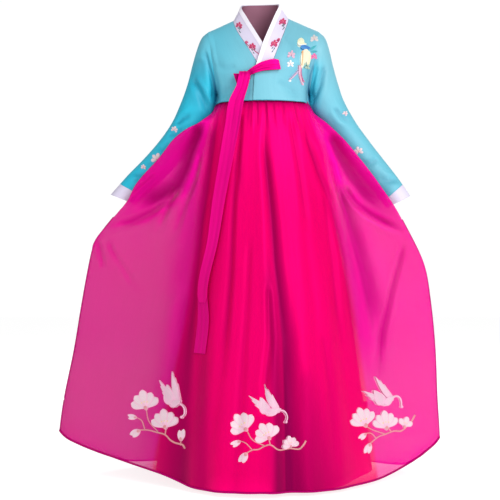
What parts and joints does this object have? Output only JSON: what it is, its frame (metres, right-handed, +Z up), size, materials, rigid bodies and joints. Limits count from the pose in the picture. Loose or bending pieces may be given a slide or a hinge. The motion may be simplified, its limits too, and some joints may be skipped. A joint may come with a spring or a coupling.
{
  "type": "korean hanbok (jeogori jacket and chima skirt)",
  "caption": "Korean hanbok in worn form: turquoise short jacket with white collar, magenta ribbon tie, and a full magenta satin and organza skirt held out at the sides.",
  "frame": {"origin": "between the shoulders at their height, where the wearer's shoulders hold the garment up", "axes": "+Z up; the front faces -Y; +X towards the wearer's left"},
  "size_m": [1.1382, 0.6857, 1.421],
  "materials": {
    "jacket_satin": "turquoise satin with a soft sheen",
    "collar_satin": "lilac white satin",
    "white_strip": "smooth white cloth",
    "neck_lining": "matte plum lining",
    "skirt_satin": "opaque magenta satin",
    "organza": "sheer magenta organza",
    "ribbon": "magenta satin ribbon",
    "waistband": "matte white cotton"
  },
  "bodies": {
    "root": {"jeogori_front_right": "jacket_satin", "jeogori_front_left": "jacket_satin", "jeogori_back_right": "jacket_satin", "jeogori_back_left": "jacket_satin", "sleeve_right": "jacket_satin", "sleeve_left": "jacket_satin", "collar": "collar_satin", "cuff_right": "collar_satin", "cuff_left": "collar_satin", "dongjeong": "white_strip", "back_neck_lining": "neck_lining", "satin_front": "skirt_satin", "satin_back_left": "skirt_satin", "satin_back_right": "skirt_satin", "organza_front": "organza", "organza_side_right": "organza", "organza_side_left": "organza", "organza_back_right": "organza", "organza_back_left": "organza", "goreum_knot": "ribbon", "goreum_loop": "ribbon", "goreum_short_end": "ribbon", "goreum_tail_front": "ribbon", "goreum_tail_back": "ribbon", "chima_waistband": "waistband"}
  },
  "joints": []
}
